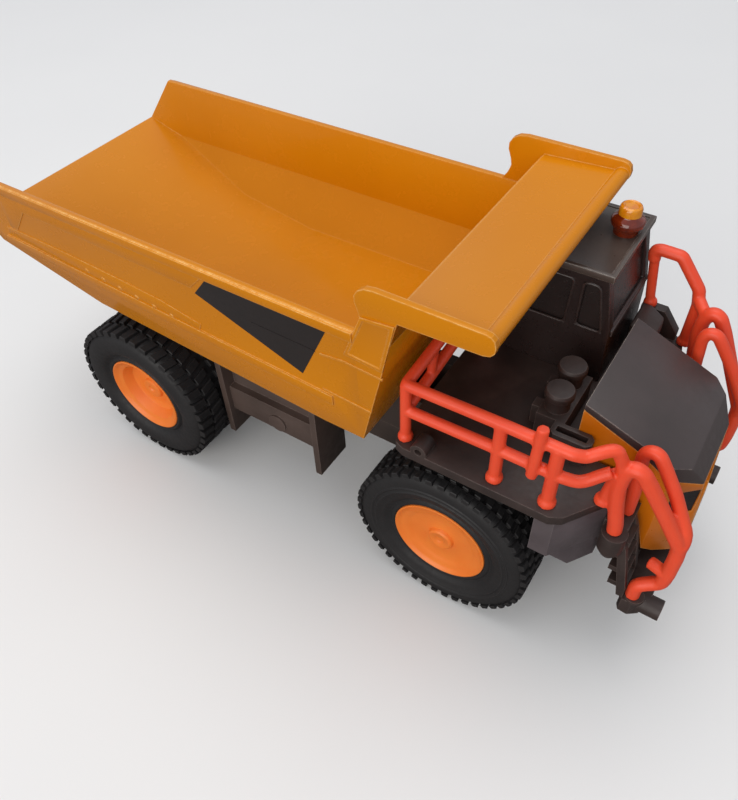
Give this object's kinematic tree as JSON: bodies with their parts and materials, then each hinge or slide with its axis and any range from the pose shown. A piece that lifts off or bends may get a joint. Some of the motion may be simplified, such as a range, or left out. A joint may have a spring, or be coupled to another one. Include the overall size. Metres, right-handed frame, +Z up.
{
  "type": "toy rigid haul truck",
  "caption": "Toy haul truck with an open, tipping dump body and canopy, a cab on the left, handrails round the deck and free-rolling wheels.",
  "frame": {"origin": "on the ground under the centre of the truck's box", "axes": "+X forward, +Y to the truck's left, +Z up"},
  "size_m": [0.2288, 0.0828, 0.1109],
  "materials": {
    "chassis_plastic": "moulded, fine satin texture",
    "deck_plastic": "moulded, fine satin texture",
    "nose_paint": "glossy paint",
    "hood_coating": "matt dark coat, chipped at the rear edge",
    "grille_plastic": "matt black",
    "cab_plastic": "satin moulded",
    "smoked_glazing": "dark smoked, glossy",
    "beacon_amber": "clear amber moulding",
    "handrail_plastic": "soft moulded plastic",
    "steel": "bright drawn rod",
    "body_paint": "glossy paint on a casting",
    "rim_plastic": "satin moulded",
    "tyre": "matt rubber"
  },
  "bodies": {
    "chassis": {"chassis_frame": "chassis_plastic", "belly_pan": "chassis_plastic", "side_tank_right": "chassis_plastic", "side_tank_left": "chassis_plastic", "deck": "deck_plastic", "corner_bracket_right": "deck_plastic", "corner_bracket_left": "deck_plastic", "stair_right": "deck_plastic", "stair_left": "deck_plastic", "bumper": "chassis_plastic", "nose_body": "nose_paint", "hood_cover": "hood_coating", "grille": "grille_plastic", "cab_shell": "cab_plastic", "cab_glazing": "smoked_glazing", "cab_roof": "cab_plastic", "beacon": "beacon_amber", "air_cleaners": "deck_plastic", "deck_locker": "deck_plastic", "handrail_right": "handrail_plastic", "handrail_left": "handrail_plastic", "hinge_pin": "steel", "front_axle_beam": "chassis_plastic", "rear_axle_housing": "chassis_plastic"},
    "dump_body": {"body_tub": "body_paint", "body_canopy": "body_paint", "body_underframe": "body_paint"},
    "front_wheels": {"front_axle": "steel", "front_rim_right": "rim_plastic", "front_rim_left": "rim_plastic", "front_tyre_right": "tyre", "front_tyre_left": "tyre"},
    "rear_wheels": {"rear_axle": "steel", "rear_rim_right": "rim_plastic", "rear_rim_left": "rim_plastic", "rear_tyre_right": "tyre", "rear_tyre_left": "tyre"}
  },
  "joints": [
    {"name": "body_tip", "type": "hinge", "parent": "chassis", "child": "dump_body", "pos_m": [-0.084, 0, 0.045], "axis": [0, -1, 0], "range_deg": [0, 48]},
    {"name": "front_roll", "type": "hinge", "parent": "chassis", "child": "front_wheels", "pos_m": [0.0545, 0, 0.0272], "axis": [0, 1, 0], "continuous": true},
    {"name": "rear_roll", "type": "hinge", "parent": "chassis", "child": "rear_wheels", "pos_m": [-0.0595, 0, 0.0272], "axis": [0, 1, 0], "continuous": true}
  ]
}
